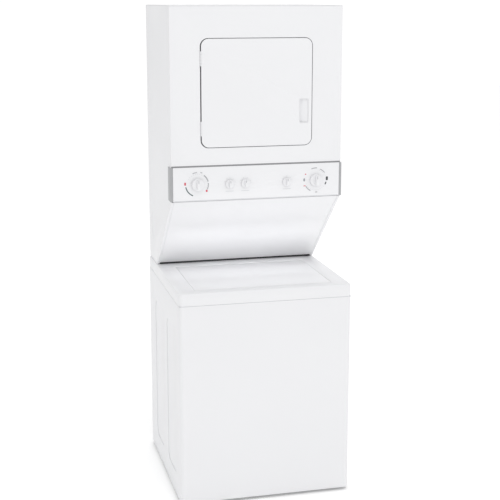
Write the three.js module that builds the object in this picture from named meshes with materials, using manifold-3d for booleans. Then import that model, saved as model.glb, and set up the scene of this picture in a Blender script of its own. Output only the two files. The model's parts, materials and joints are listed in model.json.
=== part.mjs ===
// A one-piece laundry centre: a top-loading washer with a front-loading dryer above it.
// Millimetres. +Z is up, the front faces -Y and X runs across the width.
// The origin is on the floor, under the middle of the machine.

import * as THREE from 'three';
import { mergeVertices } from 'three/addons/utils/BufferGeometryUtils.js';
import Module from 'manifold-3d';

const wasm = await Module();
wasm.setup();

// ---- driving dimensions ----

const width = 683;
const depth = 694;
const height = 1918;
const half = width / 2;
const front = -depth / 2;
const back = depth / 2;

const sheet = 2; // folded sheet steel, drawn a little thicker than it is
const gap = 0.4; // air left between pieces that touch

// washer cabinet
const cabinetFoot = 12;
const cabinetTop = 806;
const coverFoot = 808;
const worktop = 857;
const cornerRadius = 15;

// tub and everything that turns in it
const tubY = -55;
const tubRadius = 275;
const tubFoot = 215;
const tubTop = 745;
const basketRadius = 248;
const rodX = 262;
const rodY = 240;
const rodShelf = 780;
const earZ = 332;

// lid
const lidHalf = 271.5;
const lidFront = -304;
const lidBack = 93;
const lidFoot = 845.5;
const recessFloor = 842;
const lidAxisY = 88;
const lidAxisZ = 851;

// dryer cabinet
const dryerHalf = 337.5;
const dryerFront = -197;
const slantFoot = 168;
const slantTopZ = 1182;
const controlTop = 1313;
const frontPanelFoot = 1319;
const skinTop = 1916;
const shelfTop = 1176;

// dryer door
const doorHalf = 217;
const doorFoot = 1387;
const doorTop = 1796;
const doorCorner = 28;
const doorBack = -181;
const doorAxisX = -219.5;
const doorAxisY = -197.5;
const pocket = { left: 165.5, right: 207, foot: 1470, top: 1567, depth: 13 };

// drum and its drive
const drumZ = 1600;
const drumRadius = 285;
const drumFront = -140;
const drumBack = 268;
const driveX = 130;
const driveZ = 1257;
const motorPulleyRadius = 12;
const idlerRadius = 20;
const beltY = 108;
const beltWidth = 14;

// air path
const ductX = -10;
const ductBendZ = 1232;
const outletZ = 1010;
const ductRadius = 49;

// controls
const dialX = 236;
const dialZ = 1247;
const smallKnobZ = 1245;
const panelFace = -200;

// ---- materials ----

const finish = (color, roughness, metalness) => new THREE.MeshStandardMaterial({ color, roughness, metalness });
const whiteEnamel = finish(0xf0f0f2, 0.32, 0.0);
const whitePlastic = finish(0xe9e9ec, 0.42, 0.0);
const greyTrim = finish(0xb2b5b9, 0.4, 0.1);
const galvanised = finish(0xa9adb0, 0.45, 0.85);
const aluminium = finish(0xbfc1c3, 0.4, 0.9);
const steel = finish(0x8d9093, 0.35, 0.9);
const enamelTub = finish(0xe4e6e8, 0.25, 0.0);
const greyPlastic = finish(0x8f9499, 0.5, 0.0);
const blackPlastic = finish(0x2b2d30, 0.5, 0.0);
const rubber = finish(0x202122, 0.85, 0.0);

// ---- solids ----

// turns a closed three.js geometry into a solid that can be joined and cut
function solid(geometry) {
  const bare = geometry.clone();
  bare.deleteAttribute('normal');
  bare.deleteAttribute('uv');
  const merged = mergeVertices(bare, 1e-4);
  const position = merged.attributes.position;
  const corner = (i) => new THREE.Vector3().fromBufferAttribute(position, i);
  const faces = [];
  let volume = 0;
  for (let i = 0; i < merged.index.count; i += 3) {
    const [a, b, c] = [0, 1, 2].map((k) => merged.index.getX(i + k));
    if (a === b || b === c || a === c) continue;
    faces.push([a, b, c]);
    volume += corner(a).dot(corner(b).cross(corner(c)));
  }
  const outward = faces.map(([a, b, c]) => (volume > 0 ? [a, b, c] : [a, c, b]));
  return new wasm.Manifold(new wasm.Mesh({
    numProp: 3,
    vertProperties: new Float32Array(position.array),
    triVerts: new Uint32Array(outward.flat()),
  }));
}

function geometryOf(body) {
  const mesh = body.getMesh();
  const geometry = new THREE.BufferGeometry();
  geometry.setAttribute('position', new THREE.BufferAttribute(new Float32Array(mesh.vertProperties), 3));
  geometry.setIndex(new THREE.BufferAttribute(new Uint32Array(mesh.triVerts), 1));
  geometry.computeVertexNormals();
  return geometry;
}

const joined = (...bodies) => bodies.reduce((sum, body) => sum.add(body));
const cut = (body, ...tools) => tools.reduce((rest, tool) => rest.subtract(tool), body);

function block(x0, x1, y0, y1, z0, z1) {
  const box = new THREE.BoxGeometry(x1 - x0, y1 - y0, z1 - z0);
  return solid(box.translate((x0 + x1) / 2, (y0 + y1) / 2, (z0 + z1) / 2));
}

// a rectangle with rounded corners; the four radii run lower left, lower right, upper right, upper left
function roundedRect(x0, x1, y0, y1, radii) {
  const [a, b, c, d] = Array.isArray(radii) ? radii : [radii, radii, radii, radii];
  const shape = new THREE.Shape();
  shape.moveTo(x0 + a, y0);
  shape.lineTo(x1 - b, y0);
  shape.absarc(x1 - b, y0 + b, b, -Math.PI / 2, 0);
  shape.lineTo(x1, y1 - c);
  shape.absarc(x1 - c, y1 - c, c, 0, Math.PI / 2);
  shape.lineTo(x0 + d, y1);
  shape.absarc(x0 + d, y1 - d, d, Math.PI / 2, Math.PI);
  shape.lineTo(x0, y0 + a);
  shape.absarc(x0 + a, y0 + a, a, Math.PI, Math.PI * 1.5);
  return shape;
}

function polygon(points) {
  return new THREE.Shape(points.map(([x, y]) => new THREE.Vector2(x, y)));
}

// a shape drawn in plan, pushed up from z0 to z1
function upright(shape, z0, z1, curveSegments = 3) {
  const body = new THREE.ExtrudeGeometry(shape, { depth: z1 - z0, bevelEnabled: false, curveSegments });
  return solid(body.translate(0, 0, z0));
}

// a shape drawn in (x, z) as seen from the front, running back from y0 to y1
function frontal(shape, y0, y1, curveSegments = 3) {
  const body = new THREE.ExtrudeGeometry(shape, { depth: y1 - y0, bevelEnabled: false, curveSegments });
  return solid(body.rotateX(Math.PI / 2).translate(0, y1, 0));
}

// a shape drawn in (y, z) as seen from the side, running across from x0 to x1
function sideways(shape, x0, x1, curveSegments = 3) {
  const body = new THREE.ExtrudeGeometry(shape, { depth: x1 - x0, bevelEnabled: false, curveSegments });
  return solid(body.rotateX(Math.PI / 2).rotateZ(Math.PI / 2).translate(x0, 0, 0));
}

// a profile of [radius, height] pairs turned about Z
function turned(profile, segments = 24) {
  const points = profile.map(([radius, level]) => new THREE.Vector2(radius, level));
  return solid(new THREE.LatheGeometry(points, segments).rotateX(Math.PI / 2));
}

const ring = (profile, segments) => turned([...profile, profile[0]], segments);
const disc = (radius, z0, z1, segments = 16) =>
  turned([[0, z0], [radius, z0], [radius, z1], [0, z1]], segments);

// the same turned body laid along the depth: its height becomes y
const alongY = (body, x, z) => body.rotate([-90, 0, 0]).translate([x, 0, z]);
// the same turned body laid across the width: its height becomes x
const alongX = (body, y, z) => body.rotate([0, 90, 0]).translate([0, y, z]);

const mirrored = (body) => body.mirror([1, 0, 0]);

const machine = new THREE.Group();
const washer = new THREE.Group();
const dryer = new THREE.Group();
machine.add(washer, dryer);

function add(group, name, body, material, place = [0, 0, 0]) {
  const mesh = new THREE.Mesh(geometryOf(body), material);
  mesh.name = name;
  mesh.position.set(...place);
  group.add(mesh);
}

// the loop of a belt round two pulleys, as a flat outline with its inner edge as a hole
function beltLoop(bigCentre, bigRadius, smallCentre, smallRadius, thickness) {
  const dx = smallCentre[0] - bigCentre[0];
  const dy = smallCentre[1] - bigCentre[1];
  const heading = Math.atan2(dy, dx);
  const open = Math.acos((bigRadius - smallRadius) / Math.hypot(dx, dy));
  const trace = (path, grow) => {
    path.absarc(...bigCentre, bigRadius + grow, heading + open, heading - open + 2 * Math.PI);
    path.absarc(...smallCentre, smallRadius + grow, heading - open, heading + open);
    path.closePath();
    return path;
  };
  const outline = trace(new THREE.Shape(), thickness);
  outline.holes.push(trace(new THREE.Path(), 0));
  return outline;
}

// ---- washer: base and cabinet ----

const footX = 290;
const footY = 295;
const corners = [['front_left', -1, -1], ['front_right', 1, -1], ['rear_left', -1, 1], ['rear_right', 1, 1]];

function basePan() {
  const floor = 33;
  const inset = sheet + 0.6;
  const outline = (shrink) => roundedRect(
    -half + inset + shrink, half - inset - shrink, front + inset + shrink, back - 5.5 - shrink, 12,
  );
  const pan = cut(upright(outline(0), 14, floor), upright(outline(3), 13, floor - 3));
  const holes = corners.map(([, sx, sy]) => disc(5.8, 20, 40, 16).translate([sx * footX, sy * footY, 0]));
  const pulleyHole = disc(125, 20, 40, 32).translate([0, tubY, 0]);
  return cut(pan, pulleyHole, ...holes);
}

function levellingFoot() {
  const pad = turned([[0, 0], [20, 0], [22, 2], [22, 7], [12, 12], [5, 12], [5, 46], [0, 46]], 12);
  return joined(pad, disc(10, 24, 29.4, 6));
}

// the front and both sides are one wrapped sheet, with two upright panels pressed into each side
function washerCabinet() {
  const round = cornerRadius;
  const outer = roundedRect(-half, half, front, back, [round, round, 3, 3]);
  const inner = roundedRect(
    -half + sheet, half - sheet, front + sheet, back - sheet, [round - sheet, round - sheet, 1, 1],
  );
  let body = cut(upright(outer, cabinetFoot, cabinetTop), upright(inner, 0, height));
  body = cut(body, block(-half + 24, half - 24, back - 10, back + 10, 0, height));
  const pressed = [[-249, -67], [29, 210]];
  const press = 3;
  for (const [y0, y1] of pressed) {
    const panel = (grow) => roundedRect(y0 - grow, y1 + grow, 95 - grow, 695 + grow, 37 + grow);
    const behind = sideways(panel(sheet), half - sheet - press, half - sheet + 0.5, 3);
    const dent = sideways(panel(0), half - press, half + 5);
    body = cut(joined(body, behind, mirrored(behind)), dent, mirrored(dent));
  }
  for (const [, sx, sy] of corners) {
    const y = tubY + sy * rodY;
    const shelf = block(rodX - 22, half - 1, y - 32, y + 32, rodShelf, rodShelf + 3);
    const bore = disc(5, rodShelf - 5, rodShelf + 8, 16).translate([rodX, y, 0]);
    const bracket = cut(shelf, bore);
    body = joined(body, sx > 0 ? bracket : mirrored(bracket));
  }
  return body;
}

const valvePocket = { left: -70, right: 90, foot: 640, top: 760, front: 297 };
const drainHole = { x: 200, z: 700, radius: 17 };

function washerBackPanel() {
  const y = back - sheet - gap;
  const p = valvePocket;
  const plate = block(-half + 2.6, half - 2.6, y - sheet, y, 14, cabinetTop - 1);
  const cup = block(p.left, p.right, p.front, y - 1, p.foot, p.top);
  const hollow = block(p.left + 2, p.right - 2, p.front + 2, y + 5, p.foot + 2, p.top - 2);
  const drain = alongY(disc(drainHole.radius, y - 10, y + 10), drainHole.x, drainHole.z);
  const collar = alongY(disc(drainHole.radius + 9, y - 1, y + 1.2, 32), drainHole.x, drainHole.z);
  return cut(joined(plate, cup, collar), hollow, drain);
}

function inletValve() {
  const y = valvePocket.front + sheet + gap;
  const body = block(-45, 65, y, y + 26, 672, 728);
  const solenoids = [-20, 40].map((x) => disc(14, 646, 673, 20).translate([x, y + 14, 0]));
  const threads = [-20, 40].map((x) => alongY(disc(13.2, y + 25, back - 0.5, 20), x, 700));
  return joined(body, ...solenoids, ...threads);
}

// ---- washer: top cover and lid ----

const loading = { half: 225, front: -285, back: 50, corner: 95 };

function topCover() {
  const soft = 8;
  const plan = (inset, radius) => roundedRect(
    -half + inset, half - inset, front + inset, back - inset, [radius, radius, 4, 4],
  );
  const crown = new THREE.ExtrudeGeometry(plan(soft, cornerRadius - soft + 1), {
    depth: 100, bevelEnabled: true, bevelThickness: soft, bevelSize: soft, bevelSegments: 2, curveSegments: 3,
  }).translate(0, 0, worktop - soft - 100);
  const skirt = block(-half - 5, half + 5, front - 5, back + 5, 0, coverFoot);
  const shell = cut(solid(crown), skirt);
  const under = upright(plan(3, cornerRadius - 3), coverFoot - 5, worktop - 3, 3);
  const pan = block(-lidHalf - 4.5, lidHalf + 4.5, lidFront - 5, 101, recessFloor - 3, worktop);
  const recess = block(-lidHalf - 1.5, lidHalf + 1.5, lidFront - 2, 98, recessFloor, worktop + 5);
  const mouth = roundedRect(-loading.half, loading.half, loading.front, loading.back, loading.corner);
  const pinHole = alongX(disc(2.6, lidHalf - 5, lidHalf + 9, 12), lidAxisY, lidAxisZ);
  return cut(
    shell, cut(under, pan), recess, upright(mouth, 800, 860, 4), pinHole, mirrored(pinHole),
  );
}

function washerLid() {
  const skin = 2.5;
  const outline = (inset) => roundedRect(
    -lidHalf + inset, lidHalf - inset, lidFront + inset, lidBack - inset, Math.max(6 - inset, 2),
  );
  const shell = upright(outline(0), lidFoot, worktop, 3);
  const under = upright(outline(skin), lidFoot - 5, worktop - skin, 3);
  const pinHole = alongX(disc(2.6, lidHalf - 5, lidHalf + 5, 12), lidAxisY, lidAxisZ);
  return cut(shell, under, pinHole, mirrored(pinHole));
}

function lidHinge() {
  const bracket = block(236, 266, 70, 90.1, 846.4, worktop - 2.5 - gap);
  const pin = alongX(disc(2.2, 264, lidHalf + 11, 12), lidAxisY, lidAxisZ);
  return joined(bracket, pin);
}

// ---- washer: tub, basket, agitator ----

function washerTub() {
  const wall = 4;
  const r = tubRadius;
  const rim = 228;
  const shell = ring([
    [24, tubFoot], [r, tubFoot], [r, tubTop], [rim, tubTop], [rim, tubTop - wall], [r - wall, tubTop - wall],
    [r - wall, tubFoot + 6], [24, tubFoot + 6],
  ], 36);
  const ears = corners.map(([, sx, sy]) => {
    const turn = Math.atan2(sy * rodY, sx * rodX);
    const ear = new THREE.BoxGeometry(100, 50, 10).translate(r - 2 + 50, 0, 0).rotateZ(turn);
    const bore = disc(5, earZ - 5, earZ + 15, 12).translate([sx * rodX, sy * rodY, 0]);
    return cut(solid(ear.translate(0, 0, earZ + 5)), bore);
  });
  return joined(shell, ...ears);
}

function suspensionRod() {
  const sleeveTop = earZ - 0.6;
  const seat = rodShelf + 3.4;
  return turned([
    [0, 262], [10, 262], [14, 268], [14, sleeveTop], [4, sleeveTop], [4, seat], [9, seat], [9, seat + 6],
    [5, seat + 11], [0, seat + 11],
  ], 12);
}

const washerMotor = { x: 170, y: 130, top: 204.6, foot: 112 };

function transmission() {
  const top = tubFoot - gap;
  const caseBody = ring([[14, 112], [45, 112], [70, 125], [70, 195], [110, 198], [110, top], [14, top]], 20);
  const turn = Math.atan2(washerMotor.y, washerMotor.x);
  const reach = Math.hypot(washerMotor.x, washerMotor.y) + 60;
  const plate = new THREE.BoxGeometry(reach - 40, 110, 6).translate((reach + 40) / 2, 0, 208).rotateZ(turn);
  return joined(caseBody, solid(plate));
}

function motorBody() {
  const { foot, top } = washerMotor;
  return turned([
    [0, foot + 23], [6.5, foot + 23], [6.5, foot], [40, foot], [62, foot + 12], [62, top - 12],
    [40, top], [0, top],
  ], 20);
}

function washerMotorPulley() {
  return turned([
    [0, 80], [19, 80], [19, 86], [15, 87], [15, 101], [19, 102], [19, 106], [6, 106], [6, 134], [0, 134],
  ], 20);
}

// the pulley carries the shaft that turns the basket and the agitator
function drivePulley() {
  return turned([
    [0, 80], [95, 80], [95, 86], [90, 87], [90, 101], [95, 102], [95, 106], [12, 106], [12, 262], [9, 262],
    [9, 598], [0, 598],
  ], 20);
}

function washerBelt() {
  const loop = beltLoop([0, 0], 90.8, [washerMotor.x, washerMotor.y], 15.8, 3.4);
  return upright(loop, 88, 100, 8);
}

function washBasket() {
  const r = basketRadius;
  return ring([
    [12.4, 238], [45, 238], [50, 246], [r - 10, 246], [r, 256], [r, 699.6], [r - 2.5, 699.6], [r - 2.5, 257],
    [r - 11, 249], [28, 249], [28, 258], [12.4, 258],
  ], 36);
}

const balanceRing = () => ring([
  [223, 704], [229, 700], [249, 700], [249, 732], [243, 736], [229, 736], [223, 730],
], 36);

function agitator() {
  const post = turned([
    [0, 602], [9.5, 602], [9.5, 264], [40, 264], [60, 258], [162, 251], [166, 254], [164, 259], [118, 270],
    [72, 292], [54, 335], [46, 420], [42, 600], [38, 612], [0, 612],
  ], 20);
  const vane = polygon([[30, 266], [154, 259], [148, 288], [98, 330], [64, 470], [30, 478]]);
  const fins = [0, 90, 180, 270].map((turn) => frontal(vane, -5, 5).rotate([0, 0, turn + 45]));
  return joined(post, ...fins);
}

const agitatorCap = () => turned([
  [0, 612.5], [42, 612.5], [44, 616], [44, 636], [38, 646], [20, 650], [0, 650],
], 20);

function drainPump() {
  const housing = turned([
    [0, 33.4], [50, 33.4], [50, 74], [32, 80], [32, 120], [24, 126], [0, 126],
  ], 20);
  const spout = alongX(disc(14, 40, 90, 16), 0, 55);
  return joined(housing, spout);
}

add(washer, 'base_pan', basePan(), galvanised);
for (const [corner, sx, sy] of corners) {
  add(washer, `levelling_foot_${corner}`, levellingFoot(), rubber, [sx * footX, sy * footY, 0]);
  add(washer, `suspension_rod_${corner}`, suspensionRod(), steel, [sx * rodX, tubY + sy * rodY, 0]);
}
add(washer, 'washer_cabinet', washerCabinet(), whiteEnamel);
add(washer, 'washer_back_panel', washerBackPanel(), galvanised);
add(washer, 'inlet_valve', inletValve(), whitePlastic);
add(washer, 'washer_top_cover', topCover(), whiteEnamel);
add(washer, 'washer_lid', washerLid(), whiteEnamel);
add(washer, 'lid_hinge_right', lidHinge(), steel);
add(washer, 'lid_hinge_left', mirrored(lidHinge()), steel);
add(washer, 'drain_pump', drainPump(), blackPlastic, [-220, -215, 0]);

const tubGroup = new THREE.Group();
tubGroup.position.set(0, tubY, 0);
washer.add(tubGroup);
add(tubGroup, 'washer_tub', washerTub(), greyPlastic);
add(tubGroup, 'transmission', transmission(), aluminium);
add(tubGroup, 'washer_motor', motorBody(), steel, [washerMotor.x, washerMotor.y, 0]);
add(tubGroup, 'washer_motor_pulley', washerMotorPulley(), steel, [washerMotor.x, washerMotor.y, 0]);
add(tubGroup, 'washer_belt', washerBelt(), rubber);
add(tubGroup, 'washer_drive_pulley', drivePulley(), aluminium);
add(tubGroup, 'wash_basket', washBasket(), enamelTub);
add(tubGroup, 'balance_ring', balanceRing(), greyPlastic);
add(tubGroup, 'agitator', agitator(), whitePlastic);
add(tubGroup, 'agitator_cap', agitatorCap(), greyPlastic);

// ---- dryer: cabinet ----

const slantRise = slantTopZ - worktop;
const slantRun = slantFoot - dryerFront;
const slantAngle = Math.atan2(slantRise, -slantRun);
const slantLength = Math.hypot(slantRise, slantRun);

// a strip lying in the slanted face, from one distance up the slope to another, in (y, z)
function slantStrip(from, to) {
  const up = [Math.cos(slantAngle), Math.sin(slantAngle)];
  const inward = [up[1], -up[0]];
  const at = (along, inside) => [
    slantFoot + up[0] * along + inward[0] * inside, worktop + up[1] * along + inward[1] * inside,
  ];
  return polygon([at(from, 0), at(from, sheet), at(to, sheet), at(to, 0)]);
}

const flange = 10;

function dryerSide() {
  const foot = worktop + gap;
  const frontEdge = dryerFront + sheet + gap;
  const slope = slantRun / slantRise;
  const outline = polygon([
    [back - sheet, foot], [back - sheet, skinTop], [frontEdge, skinTop],
    [frontEdge, slantTopZ - (frontEdge - dryerFront) / slope], [slantFoot - gap * slope, foot],
  ]);
  const wall = sideways(outline, dryerHalf - sheet, dryerHalf);
  const lip = sideways(slantStrip(1, slantLength - 6), dryerHalf - flange, dryerHalf - 0.5);
  const backLip = block(dryerHalf - 18, dryerHalf - 1, back - 2 * sheet, back - sheet, foot, skinTop);
  const knockout = alongX(disc(59, dryerHalf - 1, dryerHalf + 5, 32), 233, outletZ);
  return cut(joined(wall, lip, backLip), knockout);
}

function servicePanel() {
  const edge = dryerHalf - flange - gap;
  return sideways(slantStrip(12, slantLength - 5), -edge, edge);
}

const terminalHole = { x: -250, z: 1120, radius: 16 };

function dryerBackPanel() {
  const y = back - sheet + gap;
  const plate = block(-dryerHalf, dryerHalf, y, back, worktop + gap, skinTop);
  const outlet = alongY(disc(ductRadius + 2.5, y - 5, back + 5, 32), ductX, outletZ);
  const cord = alongY(disc(terminalHole.radius, y - 5, back + 5), terminalHole.x, terminalHole.z);
  const louvre = (row) => block(70, 250, y - 5, back + 5, 1540 + row * 30, 1550 + row * 30);
  return cut(plate, outlet, cord, ...[0, 1, 2, 3, 4].map(louvre));
}

function dryerTopPanel() {
  return block(-dryerHalf, dryerHalf, dryerFront, back, skinTop + gap, height);
}

const doorway = { half: 165, foot: 1428, top: 1760, corner: 85 };

// the front is pressed back round the door, which lies flush in the recess
function dryerFrontPanel() {
  const left = -doorHalf - 5;
  const right = doorHalf + 2.5;
  const foot = doorFoot - 2.5;
  const top = doorTop + 2.5;
  const recess = (grow) => roundedRect(left - grow, right + grow, foot - grow, top + grow, doorCorner + 3 + grow);
  const face = block(-dryerHalf, dryerHalf, dryerFront, dryerFront + sheet, frontPanelFoot, skinTop);
  const pan = frontal(recess(sheet), dryerFront, dryerFront + 22);
  const hollow = frontal(recess(0), dryerFront - 5, dryerFront + 20);
  const mouth = roundedRect(-doorway.half, doorway.half, doorway.foot, doorway.top, doorway.corner);
  return cut(joined(face, pan), hollow, frontal(mouth, dryerFront - 5, dryerFront + 30, 5));
}

function dryerBase() {
  const edge = dryerHalf - sheet - gap;
  const rear = back - 2 * sheet - gap;
  const pan = block(-edge, edge, -150, rear, shelfTop - 20, shelfTop);
  const under = block(-edge + 3, edge - 3, -147, rear - 3, shelfTop - 25, shelfTop - 3);
  const ductHole = disc(ductRadius + 3, shelfTop - 10, shelfTop + 10, 32).translate([ductX, 250, 0]);
  return cut(pan, under, ductHole);
}

// ---- dryer: bulkheads, drum and drive ----

const filterSlot = { half: 88, front: -172, back: -156, foot: 1332 };

function frontBulkhead() {
  const edge = dryerHalf - sheet - gap;
  const plate = block(-edge, edge, -152, -149, 1322, skinTop - 4);
  const seat = alongY(disc(232, -150, -122, 48), 0, drumZ);
  const through = alongY(disc(228, -148.9, -115, 48), 0, drumZ);
  const mouth = roundedRect(-160, 160, 1430, 1755, 85);
  const opening = frontal(mouth, -180, -100, 5);
  const slot = filterSlot;
  const sleeve = block(-slot.half - 3, slot.half + 3, slot.front - 2.2, -151, slot.foot - 2, 1427);
  const inside = block(-slot.half, slot.half, slot.front, slot.back, slot.foot, 1440);
  return cut(joined(plate, cut(seat, through), sleeve), opening, inside);
}

function lintFilter() {
  const frame = block(-86, 86, -169, -159, 1334, 1426);
  const windows = [-84, 2].flatMap((x) => [
    block(x + 4, x + 78, -175, -164.6, 1340, 1420),
    block(x + 4, x + 78, -163.4, -150, 1340, 1420),
  ]);
  const handle = frontal(roundedRect(-32, 32, 1420, 1440, [2, 2, 8, 8]), -169, -159, 4);
  return joined(cut(frame, ...windows), handle);
}

function rearBulkhead() {
  const edge = dryerHalf - sheet - gap;
  const plate = block(-edge, edge, 283, 286, 1300, skinTop - 4);
  const boss = alongY(disc(28, 274, 285, 24), 0, drumZ);
  const bore = alongY(disc(10.5, 260, 300, 24), 0, drumZ);
  const airWindow = alongY(disc(70, 270, 300, 24), 165, drumZ);
  return cut(joined(plate, boss), bore, airWindow);
}

function dryerDrum() {
  const r = drumRadius;
  const shell = ring([
    [236, drumFront], [r, drumFront], [r, drumBack], [10.6, drumBack], [10.6, drumBack - 2], [r - 2, drumBack - 2],
    [r - 2, drumFront + 2], [236, drumFront + 2],
  ], 36);
  const profile = polygon([[-38, r - 4], [-12, r - 52], [12, r - 52], [38, r - 4]]);
  const lifters = [0, 120, 240].map((turn) =>
    upright(profile, -105, 235).rotate([0, 0, turn]));
  return alongY(joined(shell, ...lifters), 0, drumZ);
}

function drumShaft() {
  const start = drumBack + gap;
  const shaft = turned([
    [0, start], [45, start], [45, start + 4], [10, start + 4], [10, 286.6], [16, 286.6], [16, 294], [10, 294],
    [10, 300], [0, 300],
  ], 20);
  return alongY(shaft, 0, drumZ);
}

function heaterBox() {
  const shell = block(75, 255, 286.4, 338, 1490, 1710);
  const hollow = block(77, 253, 280, 336, 1492, 1708);
  const louvres = block(90, 240, 330, 345, 1535, 1675);
  return cut(shell, hollow, louvres);
}

function blowerHousing() {
  const y0 = -122;
  const y1 = -50;
  const scroll = alongY(disc(75, y0, y1, 32), driveX, driveZ);
  const throat = block(ductX - 55, driveX, y0, y1, shelfTop + gap, 1284);
  const scrollInside = alongY(disc(72.5, y0 + 2.5, y1 - 2.5, 32), driveX, driveZ);
  const throatInside = block(ductX - 52.5, driveX - 10, y0 + 2.5, y1 - 2.5, shelfTop + gap + 2.5, 1281.5);
  const inlet = alongY(disc(46, y0 - 5, y0 + 5, 24), driveX, driveZ);
  const shaftHole = alongY(disc(9, y1 - 5, y1 + 5, 16), driveX, driveZ);
  const outlet = alongY(disc(ductRadius - 4, y1 - 5, y1 + 5, 24), ductX, ductBendZ);
  return cut(joined(scroll, throat), joined(scrollInside, throatInside), inlet, shaftHole, outlet);
}

function blowerWheel() {
  const hub = ring([[7.4, -112], [16, -112], [20, -64], [66, -62], [66, -59], [7.4, -59]], 20);
  const eye = ring([[50, -113], [66, -113], [66, -110.5], [50, -110.5]], 20);
  const blade = (turn) => block(46, 65.5, -1.2, 1.2, -112, -60).rotate([0, 0, turn]);
  const blades = Array.from({ length: 10 }, (_, i) => blade((i * 360) / 10));
  return alongY(joined(hub, eye, ...blades), driveX, driveZ);
}

// the drum turns the idler backwards, so its centre is outside the slack side of the belt
function idlerCentre() {
  const dx = driveX;
  const dz = driveZ - drumZ;
  const heading = Math.atan2(dz, dx);
  const open = Math.acos((drumRadius - motorPulleyRadius) / Math.hypot(dx, dz));
  const normal = heading - open;
  const clear = motorPulleyRadius + 0.8 + 2.5 + 1.2 + idlerRadius;
  const along = normal + Math.PI / 2;
  return [
    driveX + Math.cos(normal) * clear - Math.cos(along) * 62,
    driveZ + Math.sin(normal) * clear - Math.sin(along) * 62,
  ];
}

function dryerMotor() {
  const [ix, iz] = idlerCentre();
  const can = alongY(ring([[7.6, -45], [36, -45], [58, -34], [58, 84], [36, 95], [7.6, 95]], 24), driveX, driveZ);
  const feet = [-30, 60].map((y) => block(driveX - 42, driveX + 42, y, y + 20, shelfTop + gap, driveZ - 45));
  const arm = block(Math.min(ix, driveX) - 12, Math.max(ix, driveX) + 12, 94, 99, Math.min(iz, driveZ) - 12,
    Math.max(iz, driveZ) + 12);
  const axleHole = alongY(disc(5.5, 85, 104, 16), ix, iz);
  const shaftHole = alongY(disc(7.6, 85, 104, 24), driveX, driveZ);
  return cut(joined(can, ...feet, arm), axleHole, shaftHole);
}

function dryerMotorPulley() {
  const r = motorPulleyRadius;
  const shaft = turned([
    [0, -110], [7, -110], [7, 102], [r + 4, 102], [r + 4, 106], [r, 107], [r, 123], [r + 4, 124], [r + 4, 127],
    [0, 127],
  ], 20);
  return alongY(shaft, driveX, driveZ);
}

function idlerPulley() {
  const r = idlerRadius;
  const [x, z] = idlerCentre();
  const wheel = turned([
    [0, 90], [5, 90], [5, 102], [r, 106], [r, 124], [8, 126], [0, 126],
  ], 20);
  return alongY(wheel, x, z);
}

function dryerBelt() {
  const loop = beltLoop([0, drumZ], drumRadius + 1.2, [driveX, driveZ], motorPulleyRadius + 0.8, 2.5);
  return frontal(loop, beltY, beltY + beltWidth, 14);
}

// from the blower straight back, down through the shelf and out of the back panel
function exhaustDuct() {
  const bend = 70;
  const down = 250;
  const quarter = (a, b, c) => new THREE.QuadraticBezierCurve3(...[a, b, c].map(([y, z]) =>
    new THREE.Vector3(ductX, y, z)));
  const straight = (a, b) => new THREE.LineCurve3(...[a, b].map(([y, z]) => new THREE.Vector3(ductX, y, z)));
  const route = (first, last) => {
    const path = new THREE.CurvePath();
    path.add(straight([first, ductBendZ], [down - bend, ductBendZ]));
    path.add(quarter([down - bend, ductBendZ], [down, ductBendZ], [down, ductBendZ - bend]));
    path.add(straight([down, ductBendZ - bend], [down, outletZ + bend]));
    path.add(quarter([down, outletZ + bend], [down, outletZ], [down + bend, outletZ]));
    path.add(straight([down + bend, outletZ], [last, outletZ]));
    return path;
  };
  const pipe = (radius, first, last) => {
    const section = new THREE.Shape().absarc(0, 0, radius, 0, 2 * Math.PI);
    return solid(new THREE.ExtrudeGeometry(section, { extrudePath: route(first, last), steps: 12, curveSegments: 6 }));
  };
  const body = cut(pipe(ductRadius, -60, 360), pipe(ductRadius - 2.5, -70, 370));
  return cut(body, block(-100, 100, -80, -50 + gap, 1100, 1400), block(-100, 100, back - 0.5, 400, 900, 1100));
}

add(dryer, 'dryer_side_right', dryerSide(), whiteEnamel);
add(dryer, 'dryer_side_left', mirrored(dryerSide()), whiteEnamel);
add(dryer, 'service_panel', servicePanel(), whiteEnamel);
add(dryer, 'dryer_back_panel', dryerBackPanel(), galvanised);
add(dryer, 'dryer_top_panel', dryerTopPanel(), whiteEnamel);
add(dryer, 'dryer_front_panel', dryerFrontPanel(), whiteEnamel);
add(dryer, 'dryer_base', dryerBase(), galvanised);
add(dryer, 'front_bulkhead', frontBulkhead(), galvanised);
add(dryer, 'lint_filter', lintFilter(), greyPlastic);
add(dryer, 'rear_bulkhead', rearBulkhead(), galvanised);
add(dryer, 'dryer_drum', dryerDrum(), enamelTub);
add(dryer, 'drum_shaft', drumShaft(), steel);
add(dryer, 'heater_box', heaterBox(), galvanised);
add(dryer, 'blower_housing', blowerHousing(), blackPlastic);
add(dryer, 'blower_wheel', blowerWheel(), blackPlastic);
add(dryer, 'dryer_motor', dryerMotor(), steel);
add(dryer, 'dryer_motor_pulley', dryerMotorPulley(), steel);
add(dryer, 'idler_pulley', idlerPulley(), greyPlastic);
add(dryer, 'dryer_belt', dryerBelt(), rubber);
add(dryer, 'exhaust_duct', exhaustDuct(), galvanised);

// ---- dryer: door ----

function dryerDoor() {
  const outline = (inset) => roundedRect(
    -doorHalf + inset, doorHalf - inset, doorFoot + inset, doorTop - inset, doorCorner - inset,
  );
  const shell = frontal(outline(0), dryerFront, doorBack);
  const inside = frontal(outline(2), dryerFront + 2, doorBack + 5);
  const p = pocket;
  const cup = frontal(roundedRect(p.left, p.right, p.foot, p.top, 6), dryerFront + 1, dryerFront + p.depth + 2, 3);
  const grip = frontal(
    roundedRect(p.left + 2, p.right - 2, p.foot + 2, p.top - 2, 4), dryerFront - 5, dryerFront + p.depth, 3,
  );
  return cut(joined(cut(shell, inside), cup), grip);
}

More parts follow.
